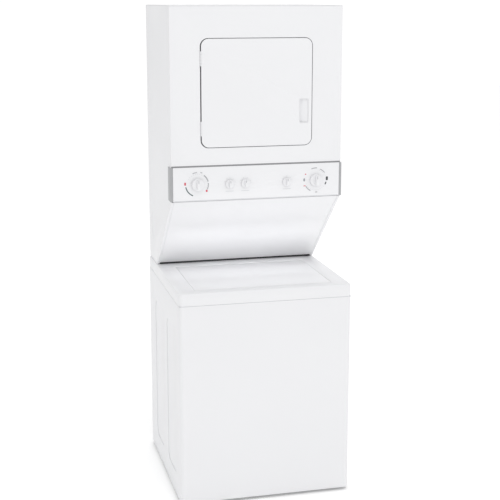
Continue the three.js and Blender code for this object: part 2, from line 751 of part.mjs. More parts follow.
function doorLiner() {
  const plate = roundedRect(-doorHalf + 10, doorHalf - 10, doorFoot + 10, doorTop - 10, 22);
  const plug = roundedRect(-155, 155, 1438, 1750, 75);
  return joined(frontal(plate, doorBack + gap, doorBack + 3), frontal(plug, doorBack + 2, -174, 5));
}

function doorHinge(z) {
  const barrel = disc(2.1, z - 28, z + 28, 12).translate([doorAxisX, doorAxisY, 0]);
  const leaf = block(doorAxisX + 0.2, -doorHalf - 0.4, doorAxisY + 1, -180, z - 26, z + 26);
  return joined(barrel, leaf);
}

add(dryer, 'dryer_door', dryerDoor(), whiteEnamel);
add(dryer, 'door_liner', doorLiner(), whitePlastic);
add(dryer, 'door_hinge_upper', doorHinge(1722), steel);
add(dryer, 'door_hinge_lower', doorHinge(1459), steel);

// ---- controls ----

const capWidth = 10;

function controlPanel() {
  const edge = half - capWidth - gap;
  const shell = block(-edge, edge, panelFace, -152.4, slantTopZ, controlTop);
  const hollow = block(-edge + 3, edge - 3, panelFace + 3, -140, slantTopZ + 3, controlTop - 3);
  const holes = [[-dialX, dialZ, 8], [dialX, dialZ, 8], [-110, smallKnobZ, 6], [-48, smallKnobZ, 6],
    [118, smallKnobZ, 6]].map(([x, z, r]) => alongY(disc(r, panelFace - 5, panelFace + 8, 16), x, z));
  return cut(shell, hollow, ...holes);
}

// each cap hooks round the front edge of the dryer's side
function endCap() {
  const face = block(half - capWidth, half, panelFace, dryerFront + sheet, slantTopZ, controlTop);
  const wing = block(dryerHalf + gap, half, panelFace, -150, slantTopZ, controlTop);
  return joined(face, wing);
}

// a round skirt with a raised grip across it
function knob(radius, skirt, reach, shaft) {
  const grip = 0.42 * radius;
  const base = turned([
    [0, 0], [radius, 0], [radius, skirt - 1.5], [radius - 2, skirt], [0, skirt],
  ], 20);
  const bar = upright(roundedRect(-grip / 2, grip / 2, -radius + 2.5, radius - 2.5, grip / 2 - 0.1), 1, reach, 2);
  const stem = disc(shaft, -32, 1, 8);
  return joined(base, bar, stem);
}

const onPanel = (body, x, z) => body.rotate([90, 0, 0]).translate([x, panelFace - 0.8, z]);

function timerShaft() {
  const body = turned([
    [0, -32], [6, -32], [6, -0.2], [25, 0], [25, 2], [4, 2.2], [4, 20], [0, 20],
  ], 20);
  return onPanel(body, -dialX, dialZ);
}

function timerKnob() {
  const cap = cut(knob(23, 14, 26, 6), disc(30, -40, 2.8));
  return onPanel(cut(cap, disc(4.5, 0, 21, 16)), -dialX, dialZ);
}

add(dryer, 'control_panel', controlPanel(), whitePlastic);
add(dryer, 'end_cap_right', endCap(), greyTrim);
add(dryer, 'end_cap_left', mirrored(endCap()), greyTrim);
add(dryer, 'washer_timer_shaft', timerShaft(), whitePlastic);
add(dryer, 'washer_timer_knob', timerKnob(), whitePlastic);
add(dryer, 'dryer_timer_knob', onPanel(knob(24, 9, 26, 6), dialX, dialZ), whitePlastic);
add(dryer, 'water_level_knob', onPanel(knob(17, 6, 20, 4), -110, smallKnobZ), whitePlastic);
add(dryer, 'wash_temperature_knob', onPanel(knob(17, 6, 20, 4), -48, smallKnobZ), whitePlastic);
add(dryer, 'dryer_start_knob', onPanel(knob(17, 6, 20, 4), 118, smallKnobZ), whitePlastic);

export default machine;
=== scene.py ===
import json
import math
import bpy
import bmesh
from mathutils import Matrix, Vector


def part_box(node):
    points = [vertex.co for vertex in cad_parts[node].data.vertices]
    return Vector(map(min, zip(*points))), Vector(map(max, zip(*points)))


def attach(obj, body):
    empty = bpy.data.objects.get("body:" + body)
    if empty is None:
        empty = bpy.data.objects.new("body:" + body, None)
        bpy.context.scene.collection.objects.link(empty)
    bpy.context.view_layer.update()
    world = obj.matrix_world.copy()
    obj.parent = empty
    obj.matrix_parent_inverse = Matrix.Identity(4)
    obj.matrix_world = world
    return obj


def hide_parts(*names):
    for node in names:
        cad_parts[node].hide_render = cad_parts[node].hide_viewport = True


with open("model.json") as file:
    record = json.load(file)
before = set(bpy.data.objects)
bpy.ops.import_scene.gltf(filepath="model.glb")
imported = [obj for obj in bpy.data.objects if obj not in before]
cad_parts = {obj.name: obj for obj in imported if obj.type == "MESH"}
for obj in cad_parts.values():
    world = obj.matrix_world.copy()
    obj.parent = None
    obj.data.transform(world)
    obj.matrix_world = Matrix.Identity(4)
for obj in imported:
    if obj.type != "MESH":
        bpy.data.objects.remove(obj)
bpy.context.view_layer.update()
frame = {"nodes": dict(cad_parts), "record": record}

nodes = frame["nodes"]
bodyOf = {node: body for body, members in frame["record"]["behaviour"]["bodies"].items()
          for node in members}
mm = 0.001
bpy.ops.object.select_all(action="DESELECT")


def socket(group, name, kind, side, value=None):
    made = group.interface.new_socket(name=name, in_out=side, socket_type=kind)
    if value is not None:
        made.default_value = value


def join(tree, source, output, target, name):
    tree.links.new(source.outputs[output], target.inputs[name])


def makeToneGroup():  # two close tones, a roughness range and a fine height, all from noise
    group = bpy.data.node_groups.new("paintTone", "ShaderNodeTree")
    for name, kind, value in (
        ("Light", "NodeSocketColor", (0.8, 0.8, 0.8, 1)),
        ("Dark", "NodeSocketColor", (0.7, 0.7, 0.7, 1)),
        ("Patch", "NodeSocketFloat", 3.0), ("Grain", "NodeSocketFloat", 400.0),
        ("Rough Low", "NodeSocketFloat", 0.3), ("Rough High", "NodeSocketFloat", 0.4),
    ):
        socket(group, name, kind, "INPUT", value)
    for name, kind in (("Color", "NodeSocketColor"), ("Roughness", "NodeSocketFloat"),
                       ("Height", "NodeSocketFloat")):
        socket(group, name, kind, "OUTPUT")
    make = group.nodes.new
    inputs, outputs, place = make("NodeGroupInput"), make("NodeGroupOutput"), make("ShaderNodeTexCoord")
    patch, grain, mix, rough = (
        make("ShaderNodeTexNoise"), make("ShaderNodeTexNoise"), make("ShaderNodeMix"),
        make("ShaderNodeMapRange"))
    mix.data_type = "RGBA"
    patch.inputs["Detail"].default_value = 3
    grain.inputs["Detail"].default_value = 2
    for noise, scale in ((patch, "Patch"), (grain, "Grain")):
        join(group, place, "Object", noise, "Vector")
        join(group, inputs, scale, noise, "Scale")
    group.links.new(patch.outputs["Fac"], mix.inputs["Factor"])
    group.links.new(inputs.outputs["Light"], mix.inputs[6])
    group.links.new(inputs.outputs["Dark"], mix.inputs[7])
    group.links.new(mix.outputs[2], outputs.inputs["Color"])
    join(group, patch, "Fac", rough, "Value")
    join(group, inputs, "Rough Low", rough, "To Min")
    join(group, inputs, "Rough High", rough, "To Max")
    join(group, rough, "Result", outputs, "Roughness")
    join(group, grain, "Fac", outputs, "Height")
    return group


toneGroup = makeToneGroup()


def makeMaterial(name, look):
    material = bpy.data.materials.new(name)
    material.use_nodes = True
    tree = material.node_tree
    shader = tree.nodes["Principled BSDF"]
    tone = tree.nodes.new("ShaderNodeGroup")
    tone.node_tree = toneGroup
    for key in ("Light", "Dark"):
        tone.inputs[key].default_value = (*look[key.lower()], 1)
    tone.inputs["Patch"].default_value = look.get("patch", 3)
    tone.inputs["Grain"].default_value = look.get("grain", 400)
    tone.inputs["Rough Low"].default_value, tone.inputs["Rough High"].default_value = look["rough"]
    bump = tree.nodes.new("ShaderNodeBump")
    bump.inputs["Strength"].default_value = look.get("bump", 0.1)
    bump.inputs["Distance"].default_value = look.get("deep", 0.0004)
    shader.inputs["Metallic"].default_value = look.get("metal", 0)
    shader.inputs["Coat Weight"].default_value = look.get("coat", 0)
    shader.inputs["Coat Roughness"].default_value = look.get("coatRough", 0.15)
    if look.get("spangle"):  # zinc crystals
        cells = tree.nodes.new("ShaderNodeTexVoronoi")
        place = tree.nodes.new("ShaderNodeTexCoord")
        shade = tree.nodes.new("ShaderNodeMix")
        shade.data_type = "RGBA"
        shade.blend_type = "MULTIPLY"
        shade.inputs["Factor"].default_value = look["spangle"]
        cells.inputs["Scale"].default_value = look["crystals"]
        join(tree, place, "Object", cells, "Vector")
        tree.links.new(tone.outputs["Color"], shade.inputs[6])
        grey = tree.nodes.new("ShaderNodeRGBToBW")
        tree.links.new(cells.outputs["Color"], grey.inputs[0])
        tree.links.new(grey.outputs[0], shade.inputs[7])
        tree.links.new(shade.outputs[2], shader.inputs["Base Color"])
    else:
        join(tree, tone, "Color", shader, "Base Color")
    join(tree, tone, "Roughness", shader, "Roughness")
    join(tree, tone, "Height", bump, "Height")
    join(tree, bump, "Normal", shader, "Normal")
    return material


looks = {
    "white_enamel": dict(light=(0.775, 0.777, 0.79), dark=(0.755, 0.757, 0.771), rough=(0.42, 0.5),
                         grain=260, bump=0.06, coat=0.06),
    "white_plastic": dict(light=(0.775, 0.777, 0.79), dark=(0.75, 0.752, 0.768), rough=(0.36, 0.46),
                          grain=900, bump=0.08),
    "grey_trim": dict(light=(0.38, 0.385, 0.395), dark=(0.34, 0.345, 0.355), rough=(0.38, 0.48),
                      grain=900, bump=0.08),
    "galvanised": dict(light=(0.6, 0.612, 0.622), dark=(0.54, 0.552, 0.563), rough=(0.34, 0.5), metal=0.85,
                       grain=120, bump=0.05, spangle=0.13, crystals=95, patch=9),
    "aluminium": dict(light=(0.62, 0.63, 0.64), dark=(0.5, 0.51, 0.52), rough=(0.4, 0.55),
                      metal=0.9, bump=0.25),
    "steel": dict(light=(0.5, 0.51, 0.52), dark=(0.4, 0.41, 0.42), rough=(0.28, 0.4), metal=0.9, bump=0.1),
    "enamel_tub": dict(light=(0.8, 0.81, 0.82), dark=(0.75, 0.76, 0.775), rough=(0.2, 0.3), coat=0.4,
                       grain=200, bump=0.06),
    "grey_plastic": dict(light=(0.34, 0.355, 0.37), dark=(0.29, 0.3, 0.315), rough=(0.45, 0.55), grain=900),
    "black_plastic": dict(light=(0.04, 0.042, 0.045), dark=(0.028, 0.03, 0.032), rough=(0.45, 0.6), grain=900),
    "rubber": dict(light=(0.028, 0.028, 0.03), dark=(0.018, 0.018, 0.019), rough=(0.7, 0.85),
                   grain=1200, bump=0.3),
}
materials = {name: makeMaterial(name, look) for name, look in looks.items()}
inkAndShadeLooks = {  # the two tones of each printed colour; some also serve as painted shade in gaps, holes and beside a knob, and as painted light in a seam
    "greyInkAndShade": ((0.3, 0.31, 0.33), (0.26, 0.27, 0.29)),
    "darkInkAndHoleShade": ((0.07, 0.075, 0.08), (0.05, 0.055, 0.06)),
    "inkRed": ((0.62, 0.09, 0.12), (0.54, 0.07, 0.1)),
    "inkTeal": ((0.11, 0.15, 0.155), (0.09, 0.125, 0.13)),
    # painted shade for the gap over the control panel
    "seamShadeGrey": ((0.3, 0.302, 0.31), (0.26, 0.262, 0.27)),
    "softInkAndShade": ((0.42, 0.425, 0.44), (0.38, 0.385, 0.4)),
    "paleInkAndLight": ((0.62, 0.63, 0.65), (0.57, 0.58, 0.6)),
}
inksAndShades = {name: makeMaterial(name, dict(light=a, dark=b, rough=(0.4, 0.5), grain=900, bump=0.03))
        for name, (a, b) in inkAndShadeLooks.items()}
for entry in frame["record"]["subparts"]:
    node = nodes[entry["node"]]
    node.data.materials.clear()
    node.data.materials.append(materials[entry["material_slot"]])
slotOf = {entry["node"]: entry["material_slot"] for entry in frame["record"]["subparts"]}
print("materials made")


def finishPiece(piece, name, body, slotName, material=None, smooth=30):
    piece.name = name
    piece.data.name = name
    bpy.ops.object.select_all(action="DESELECT")
    bpy.context.view_layer.objects.active = piece
    piece.select_set(True)
    bpy.ops.object.transform_apply(location=True, rotation=True, scale=True)
    if smooth:
        bpy.ops.object.shade_smooth_by_angle(angle=math.radians(smooth))
    piece.data.materials.clear()
    piece.data.materials.append(material or materials[slotName])
    piece.select_set(False)
    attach(piece, body)
    return piece


def applyModifier(piece, kind, **settings):
    bpy.context.view_layer.objects.active = piece
    modifier = piece.modifiers.new(kind.title(), kind)
    for key, value in settings.items():
        setattr(modifier, key, value)
    bpy.ops.object.modifier_apply(modifier=modifier.name)


def roundEdges(piece, width, segments, sharp):
    # rounds every edge that turns by more than the sharp angle, in degrees
    applyModifier(piece, "BEVEL", width=width, segments=segments, limit_method="ANGLE",
                  angle_limit=math.radians(sharp))


def cutOut(piece, hole):
    applyModifier(piece, "BOOLEAN", operation="DIFFERENCE", object=hole)
    bpy.data.objects.remove(hole)


def softened(node, width, segments=3, smooth=35):
    # the pressed or moulded edge of a piece: its own shape with every sharp edge rounded
    piece = nodes[node].copy()
    piece.data = nodes[node].data.copy()
    for key in list(piece.keys()):
        del piece[key]
    piece.parent = None
    bpy.context.collection.objects.link(piece)
    mesh = bmesh.new()
    mesh.from_mesh(piece.data)
    bmesh.ops.remove_doubles(mesh, verts=mesh.verts, dist=0.00002)
    bmesh.ops.dissolve_limit(mesh, angle_limit=math.radians(1), verts=mesh.verts, edges=mesh.edges)
    mesh.to_mesh(piece.data)
    mesh.free()
    applyModifier(piece, "BEVEL", width=width * mm, segments=segments, limit_method="ANGLE",
                  angle_limit=math.radians(40), use_clamp_overlap=True, harden_normals=False)
    finishPiece(piece, node + "_finish", bodyOf[node], slotOf[node], smooth=smooth)
    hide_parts(node)


def roundSlab(lo, hi, radius, edge, axis=1, corners=8):
    # a slab whose outline corners are round across one axis, with a small edge round its faces
    centre = [(a + b) / 2 for a, b in zip(lo, hi)]
    bpy.ops.mesh.primitive_cube_add(size=1, location=centre, scale=[b - a for a, b in zip(lo, hi)])
    piece = bpy.context.object
    bpy.ops.object.transform_apply(location=True, rotation=True, scale=True)
    bpy.ops.object.mode_set(mode="EDIT")
    bpy.ops.mesh.select_all(action="DESELECT")
    mesh = bmesh.from_edit_mesh(piece.data)
    for side in mesh.edges:
        run = side.verts[1].co - side.verts[0].co
        side.select = abs(run[axis]) > 0.9 * run.length
    bmesh.update_edit_mesh(piece.data)
    bpy.ops.mesh.bevel(offset=radius, segments=corners, profile=0.5, affect="EDGES", clamp_overlap=True)
    bpy.ops.object.mode_set(mode="OBJECT")
    if edge:
        roundEdges(piece, edge, 2, 40)
    return piece


def roundBar(radius, start, end, edge, sides=48):
    start, end = Vector(start), Vector(end)
    run = end - start
    bpy.ops.mesh.primitive_cylinder_add(
        vertices=sides, radius=radius, depth=run.length, location=(start + end) / 2,
        rotation=run.to_track_quat("Z", "Y").to_euler())
    piece = bpy.context.object
    bpy.ops.object.transform_apply(location=True, rotation=True, scale=True)
    if edge:
        roundEdges(piece, edge, 3, 50)
    return piece


def mergePieces(pieces):
    bpy.ops.object.select_all(action="DESELECT")
    for piece in pieces:
        piece.select_set(True)
    bpy.context.view_layer.objects.active = pieces[0]
    bpy.ops.object.join()
    return bpy.context.object


# the camera stands left of the front and looks a little down
view = dict(eye=(-1.084, -4.433, 1.95), lens=82.2, pitch=12.0, heading=-13.99, shiftY=-0.0215)
camera = bpy.data.objects.new("camera", bpy.data.cameras.new("camera"))
bpy.context.scene.collection.objects.link(camera)
camera.location = view["eye"]
camera.rotation_euler = (math.radians(90 - view["pitch"]), 0, math.radians(view["heading"]))
camera.data.lens = view["lens"]
camera.data.shift_y = view["shiftY"]
bpy.context.scene.camera = camera


def placeLamp(name, light):
    lamp = bpy.data.lights.new(name, "AREA")
    lamp.energy = light["power"]
    lamp.size = light["size"]
    holder = bpy.data.objects.new(name, lamp)
    holder.location = light["at"]
    aim = Vector(light.get("to", (0, 0, 0.9))) - holder.location
    holder.rotation_euler = aim.to_track_quat("-Z", "Y").to_euler()
    bpy.context.scene.collection.objects.link(holder)
    return holder


lights = {
    "keyLight": dict(at=(0.6, -5.5, 4.6), size=4.0, power=17),
    "topLight": dict(at=(0.0, -2.3, 4.9), size=2.0, power=20),
    "sideLight": dict(at=(-5.0, -0.5, 2.4), size=3.5, power=3),
    "fillLight": dict(at=(4.5, -3.5, 2.6), size=4.0, power=14),
    "lowLight": dict(at=(-0.4, -3.4, 0.35), size=1.8, power=4),
    "backLight": dict(at=(0.5, 4.5, 3.6), size=4.0, power=16),
}
for name, light in lights.items():
    placeLamp(name, light)
nooks = {  # lift the shade over the lid, and aren't seen themselves
    "nookLight": dict(at=(0, -0.2, 0.985), to=(0, 0.16, 0.868), size=0.64, tall=0.1, power=0.2, spread=80),
    "panelLift": dict(at=(0, -0.37, 0.95), to=(0, 0, 1.03), size=0.66, tall=0.06, power=0.2, spread=140),
}
for name, nook in nooks.items():
    holder = placeLamp(name, nook)
    holder.data.shape = "RECTANGLE"
    holder.data.size_y = nook["tall"]
    holder.data.spread = math.radians(nook["spread"])
    holder.visible_camera = holder.visible_glossy = False
studio = dict(sky=0.9, paper=1.05, floorSize=40, floorGlow=0.14)
world = bpy.data.worlds.new("studio")
world.use_nodes = True
sky = world.node_tree.nodes["Background"]
sky.inputs["Color"].default_value = (1, 1, 1, 1)
sky.inputs["Strength"].default_value = studio["sky"]
paper = world.node_tree.nodes.new("ShaderNodeBackground")  # what shows behind the machine
paper.inputs["Color"].default_value = (1, 1, 1, 1)
paper.inputs["Strength"].default_value = studio["paper"]
choose = world.node_tree.nodes.new("ShaderNodeMixShader")
rays = world.node_tree.nodes.new("ShaderNodeLightPath")
world.node_tree.links.new(rays.outputs["Is Camera Ray"], choose.inputs[0])
world.node_tree.links.new(sky.outputs[0], choose.inputs[1])
world.node_tree.links.new(paper.outputs[0], choose.inputs[2])
world.node_tree.links.new(choose.outputs[0], world.node_tree.nodes["World Output"].inputs["Surface"])
bpy.context.scene.world = world
bpy.context.scene.view_settings.view_transform = "Standard"
bpy.ops.mesh.primitive_plane_add(size=studio["floorSize"], location=(0, 0, 0))
floor = bpy.context.object
floor.name = "floor"
floor.data.materials.append(makeMaterial("paleFloor", dict(
    light=(0.99, 0.99, 0.99), dark=(0.98, 0.98, 0.98), rough=(0.8, 0.9), bump=0)))
glow = floor.data.materials[0].node_tree.nodes["Principled BSDF"]
glow.inputs["Emission Color"].default_value = (1, 1, 1, 1)
glow.inputs["Emission Strength"].default_value = studio["floorGlow"]
print("camera, lights and floor made")

# the width of the round on each piece's sharp edges, in mm
shells = {
    "washer_cabinet": 1.6, "washer_top_cover": 1.2, "washer_lid": 2.2, "dryer_side_left": 0.9,
    "dryer_side_right": 0.9, "service_panel": 0.9, "dryer_front_panel": 0.9, "dryer_top_panel": 0.7,
    "dryer_door": 1.0, "door_liner": 1.4, "control_panel": 1.4, "end_cap_left": 1.6, "end_cap_right": 1.6,
    "washer_back_panel": 0.8, "dryer_back_panel": 0.5, "inlet_valve": 1.2, "balance_ring": 1.0,
    "agitator": 1.6, "agitator_cap": 1.5, "lint_filter": 0.8, "exhaust_duct": 0.6,
    "washer_tub": 0.9, "base_pan": 0.6, "transmission": 1.5, "drain_pump": 1.2, "washer_motor": 2.0,
    "dryer_motor": 2.0, "blower_housing": 1.0, "blower_wheel": 0.3, "heater_box": 0.7, "front_bulkhead": 0.6,
    "rear_bulkhead": 0.6, "dryer_base": 0.6, "idler_pulley": 0.6, "dryer_motor_pulley": 0.4,
    "washer_motor_pulley": 0.6, "washer_drive_pulley": 0.6, "lid_hinge_left": 0.4, "lid_hinge_right": 0.4,
    "washer_belt": 0.8, "dryer_belt": 0.5,
}
for corner in ("front_left", "front_right", "rear_left", "rear_right"):
    shells["levelling_foot_" + corner] = 0.7
    shells["suspension_rod_" + corner] = 0.8
for node, width in shells.items():
    softened(node, width)
print("shells made")

panelLow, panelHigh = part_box("control_panel")
panelFace = panelLow[1]


def knobCentre(node):
    low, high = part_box(node)
    return Vector(((low[0] + high[0]) / 2, panelFace, (low[2] + high[2]) / 2))


# what all the knobs share
knobFit = dict(gap=0.0008, skirtEdge=0.0014, inset=0.0022, taper=(0.72, 1, 0.9), pointer=0.0009)


def makeKnob(node, body, look):
    centre = knobCentre(node)
    radius, reach = look["radius"], look["reach"]
    foot = panelFace - look["lift"]
    crown = panelFace - knobFit["gap"] - reach
    skirt = roundBar(radius, (centre.x, foot, centre.z), (centre.x, foot - look["skirt"], centre.z),
                     knobFit["skirtEdge"], 64)
    halfGrip = look["grip"] / 2
    inset = knobFit["inset"]
    grip = roundSlab((centre.x - halfGrip, crown, centre.z - radius + inset),
                     (centre.x + halfGrip, foot - look["skirt"] * 0.5, centre.z + radius - inset),
                     halfGrip * 0.96, 0)
    bpy.context.view_layer.objects.active = grip
    bpy.ops.object.mode_set(mode="EDIT")
    mesh = bmesh.from_edit_mesh(grip.data)
    for face in mesh.faces:
        face.select = face.normal.y < -0.9
    bmesh.update_edit_mesh(grip.data)
    bpy.ops.transform.resize(value=knobFit["taper"], center_override=(centre.x, crown, centre.z))
    bpy.ops.object.mode_set(mode="OBJECT")
    roundEdges(grip, look["edge"], 4, 50)
    knob = finishPiece(mergePieces([skirt, grip]), node + "_finish", body, "white_plastic")
    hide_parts(node)
    thin = knobFit["pointer"]
    pointer = roundSlab((centre.x - thin, crown - 0.00025, centre.z + radius * 0.25),
                        (centre.x + thin, crown + 0.001, centre.z + radius * 0.78), 0.0008, 0, corners=4)
    finishPiece(pointer, node + "_pointer", body, "grey_trim", inksAndShades["greyInkAndShade"])


bigKnob = dict(radius=0.024, reach=0.026, skirt=0.009, lift=0.0009, grip=0.0125, edge=0.002)
smallKnob = dict(radius=0.017, reach=0.02, skirt=0.006, lift=0.0009, grip=0.0085, edge=0.0016)
makeKnob("dryer_timer_knob", "dryer_timer", bigKnob)
makeKnob("washer_timer_knob", "washer_timer_pull", dict(bigKnob, radius=0.023, lift=0.0039, skirt=0.010))
for node, body in (("water_level_knob", "water_level"), ("wash_temperature_knob", "wash_temperature"),
                   ("dryer_start_knob", "dryer_start")):
    makeKnob(node, body, smallKnob)
softened("washer_timer_shaft", 0.5)

dialInk = dict(proud=0.00025, sunk=0.0002)


def clockMark(centre, clock, radius, width, sweep):
    # a thin bar spun round the dial; clock and sweep are in degrees, clockwise from the top
    steps = max(2, int(abs(sweep) / 4))
    pivot = (centre.x, panelFace, centre.z)
    bpy.ops.mesh.primitive_cube_add(
        size=1, location=(centre.x, panelFace, centre.z + radius), scale=(0.00002, 0.0005, width))
    mark = bpy.context.object
    bpy.ops.object.transform_apply(location=True, rotation=True, scale=True)
    bpy.ops.object.mode_set(mode="EDIT")
    bpy.ops.mesh.select_all(action="SELECT")
    bpy.ops.transform.rotate(value=math.radians(-clock), orient_axis="Y", center_override=pivot)
    mesh = bmesh.from_edit_mesh(mark.data)
    tangent = Vector((math.cos(math.radians(clock)), 0, -math.sin(math.radians(clock))))
    for face in mesh.faces:
        face.select = face.normal.dot(tangent) > 0.9
    bmesh.update_edit_mesh(mark.data)
    bpy.ops.mesh.spin(steps=steps, angle=math.radians(-sweep), center=pivot, axis=(0, 1, 0))
    bpy.ops.mesh.select_all(action="SELECT")
    bpy.ops.mesh.remove_doubles(threshold=0.000001)
    bpy.ops.mesh.normals_make_consistent(inside=False)
    bpy.ops.object.mode_set(mode="OBJECT")
    return mark


def printedSlab(x, z, wide, high, radius):
    return roundSlab((x - wide / 2, panelFace - dialInk["proud"], z - high / 2),
                     (x + wide / 2, panelFace + dialInk["sunk"], z + high / 2), radius, 0, corners=3)


def printedBlock(dial, clock, radius, wide, high):
    turn = math.radians(clock)
    x, z = dial.x + radius * math.sin(turn), dial.z + radius * math.cos(turn)
    return printedSlab(x, z, wide, high, wide * 0.3)


def paintMarks(name, ink, marks):
    finishPiece(mergePieces(marks), name, "cabinet", "grey_trim", inksAndShades[ink], smooth=0)


# bars are (clock, radius, width, sweep) and blocks are (clock, radius, width, height)
dialPrintsAndShade = {
    "left_dial_scale": dict(ink="paleInkAndLight", bars=[(clock, 0.0405, 0.004, 2.2) for clock in range(-60, 125, 12)]),
    # painted shade: the left dial's grey bands on its right stand for the knob's shading on the panel
    "left_dial_bands_and_shade": dict(ink="softInkAndShade", bars=[(-24, 0.0465, 0.0036, 22), (14, 0.0475, 0.0036, 9),
                                                 (36, 0.0425, 0.0046, 40), (84, 0.0425, 0.0036, 34)]),
    "left_dial_arc": dict(ink="inkTeal", bars=[(203, 0.0465, 0.0042, 56)]),
    "left_dial_stops": dict(ink="inkRed", blocks=[(274, 0.0485, 0.0066, 0.0115), (126, 0.044, 0.0072, 0.0085)]),
    "right_dial_scale": dict(ink="paleInkAndLight", bars=[(clock, 0.0405, 0.004, 2.2) for clock in range(20, 250, 12)]),
    "right_dial_bands": dict(ink="softInkAndShade", bars=[(-22, 0.0475, 0.0036, 28), (22, 0.0455, 0.0034, 30),
                                                  (207, 0.0465, 0.004, 32), (172, 0.048, 0.0036, 10)]),
    "right_dial_mark": dict(ink="darkInkAndHoleShade", blocks=[(84, 0.046, 0.0084, 0.015)],
                            bars=[(102, 0.043, 0.0044, 14)]),
    "right_dial_stops": dict(ink="inkRed", blocks=[(300, 0.048, 0.0052, 0.0046), (244, 0.05, 0.009, 0.003)]),
    "right_dial_square": dict(ink="greyInkAndShade", blocks=[(272, 0.047, 0.0066, 0.0115)]),
}
leftDial = knobCentre("washer_timer_shaft")
rightDial = knobCentre("dryer_timer_knob")
for name, marks in dialPrintsAndShade.items():
    dial = leftDial if name.startswith("left") else rightDial
    blocks = [printedBlock(dial, *block) for block in marks.get("blocks", ())]
    bars = [clockMark(dial, *bar) for bar in marks.get("bars", ())]
    paintMarks(name, marks["ink"], blocks + bars)
smallPrint = dict(radius=0.0225, width=0.0026, sweep=5, under=0.0285, wide=0.032, high=0.002, corner=0.0009)
smallScales = {  # the clock angles of the bars round each small knob
    "water_level": (-70, -35, 0, 35, 70),
    "wash_temperature": (-60, -20, 20, 60),
    "dryer_start": (-55, 0, 40),
}
for name, clocks in smallScales.items():
    dial = knobCentre(name + "_knob")
    bars = [clockMark(dial, clock, smallPrint["radius"], smallPrint["width"], smallPrint["sweep"])
            for clock in clocks]
    under = printedSlab(dial.x, dial.z - smallPrint["under"], smallPrint["wide"], smallPrint["high"],
                        smallPrint["corner"])
    paintMarks(name + "_scale", "paleInkAndLight", bars + [under])
# a pale line along the foot of the control panel
panelLine = roundSlab((panelLow[0] + 0.004, panelFace - 0.0004, panelLow[2] + 0.0012),
                      (panelHigh[0] - 0.004, panelFace + 0.0004, panelLow[2] + 0.0036),
                      0.0008, 0.0002, corners=3)
finishPiece(panelLine, "panel_foot_line", "cabinet", "grey_trim", inksAndShades["paleInkAndLight"])
print("controls made")

paintedGapShades = {  # dark strips of painted shade for the shadowed gaps at the foot of the slanted panel and over the control panel
    # the rubber colour here is painted shade for the gap at the slanted panel's foot
    "service_panel_seal": dict(low=(-0.326, 0.1625, 0.8575), high=(0.326, 0.168, 0.8685),
                               paint=materials["rubber"]),
    "control_panel_seal": dict(low=(-0.334, -0.1955, 1.3105), high=(0.334, -0.186, 1.3225),
                               paint=inksAndShades["seamShadeGrey"]),
}
for name, gapShadeSpec in paintedGapShades.items():
    strip = roundSlab(gapShadeSpec["low"], gapShadeSpec["high"], 0.0015, 0.0006, axis=0, corners=3)
    finishPiece(strip, name, "cabinet", "rubber", gapShadeSpec["paint"])

hinge = dict(pin=0.0021, knuckles=5, gap=0.0003, edge=0.0005, leafShort=0.002)
for node in ("door_hinge_upper", "door_hinge_lower"):
    low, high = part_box(node)
    axisX, axisY = low[0] + hinge["pin"], low[1] + hinge["pin"]
    length = (high[2] - low[2]) / hinge["knuckles"]
    knuckles = [roundBar(hinge["pin"], (axisX, axisY, low[2] + length * i + hinge["gap"]),
                         (axisX, axisY, low[2] + length * (i + 1) - hinge["gap"]), hinge["edge"], 24)
                for i in range(hinge["knuckles"])]
    leaf = roundSlab((axisX + 0.0004, axisY + 0.001, low[2] + hinge["leafShort"]),
                     (high[0], high[1], high[2] - hinge["leafShort"]), 0.002, 0.0002, axis=0, corners=4)
    finished = finishPiece(mergePieces(knuckles + [leaf]), node + "_finish", "door", "steel",
                           materials["white_plastic"])
    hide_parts(node)

pull = dict(low=(0.1679, -0.1973, 1.4724), high=(0.2047, -0.1846, 1.5646), corner=0.0035, wall=0.0022,
            deep=0.0108, rise=0.0075, rampFrom=0.19, edge=0.0006)
insert = roundSlab(pull["low"], pull["high"], pull["corner"], 0, corners=5)
bpy.ops.object.mode_set(mode="EDIT")
bpy.ops.mesh.select_all(action="DESELECT")
mesh = bmesh.from_edit_mesh(insert.data)
for face in mesh.faces:
    face.select = face.normal.y < -0.9
bmesh.update_edit_mesh(insert.data)
bpy.ops.mesh.inset(thickness=pull["wall"])
bpy.ops.mesh.extrude_region_move(TRANSFORM_OT_translate={"value": (0, pull["deep"], 0)})
mesh = bmesh.from_edit_mesh(insert.data)
for vertex in mesh.verts:  # the floor of the finger pull ramps up to the opening edge
    if vertex.select and vertex.co.x > pull["rampFrom"]:
        vertex.co.y -= pull["rise"]
bmesh.update_edit_mesh(insert.data)
bpy.ops.object.mode_set(mode="OBJECT")
roundEdges(insert, pull["edge"], 2, 40)
finishPiece(insert, "finger_pull", "door", "white_plastic")

# a thin dark line round the recess that the door sits in: painted shade standing for the shadow in the door's
# gap
recess = dict(low=(-0.2219, -0.196, 1.3846), high=(0.2194, -0.1775, 1.7984), corner=0.0309,
              holeLow=(-0.2216, -0.2, 1.3852), holeHigh=(0.2188, -0.17, 1.7978), holeCorner=0.0306)
doorGapShade = roundSlab(recess["low"], recess["high"], recess["corner"], 0, corners=12)
cutOut(doorGapShade, roundSlab(recess["holeLow"], recess["holeHigh"], recess["holeCorner"], 0, corners=12))
finishPiece(doorGapShade, "door_gap_painted_shade", "cabinet", "rubber", inksAndShades["greyInkAndShade"])

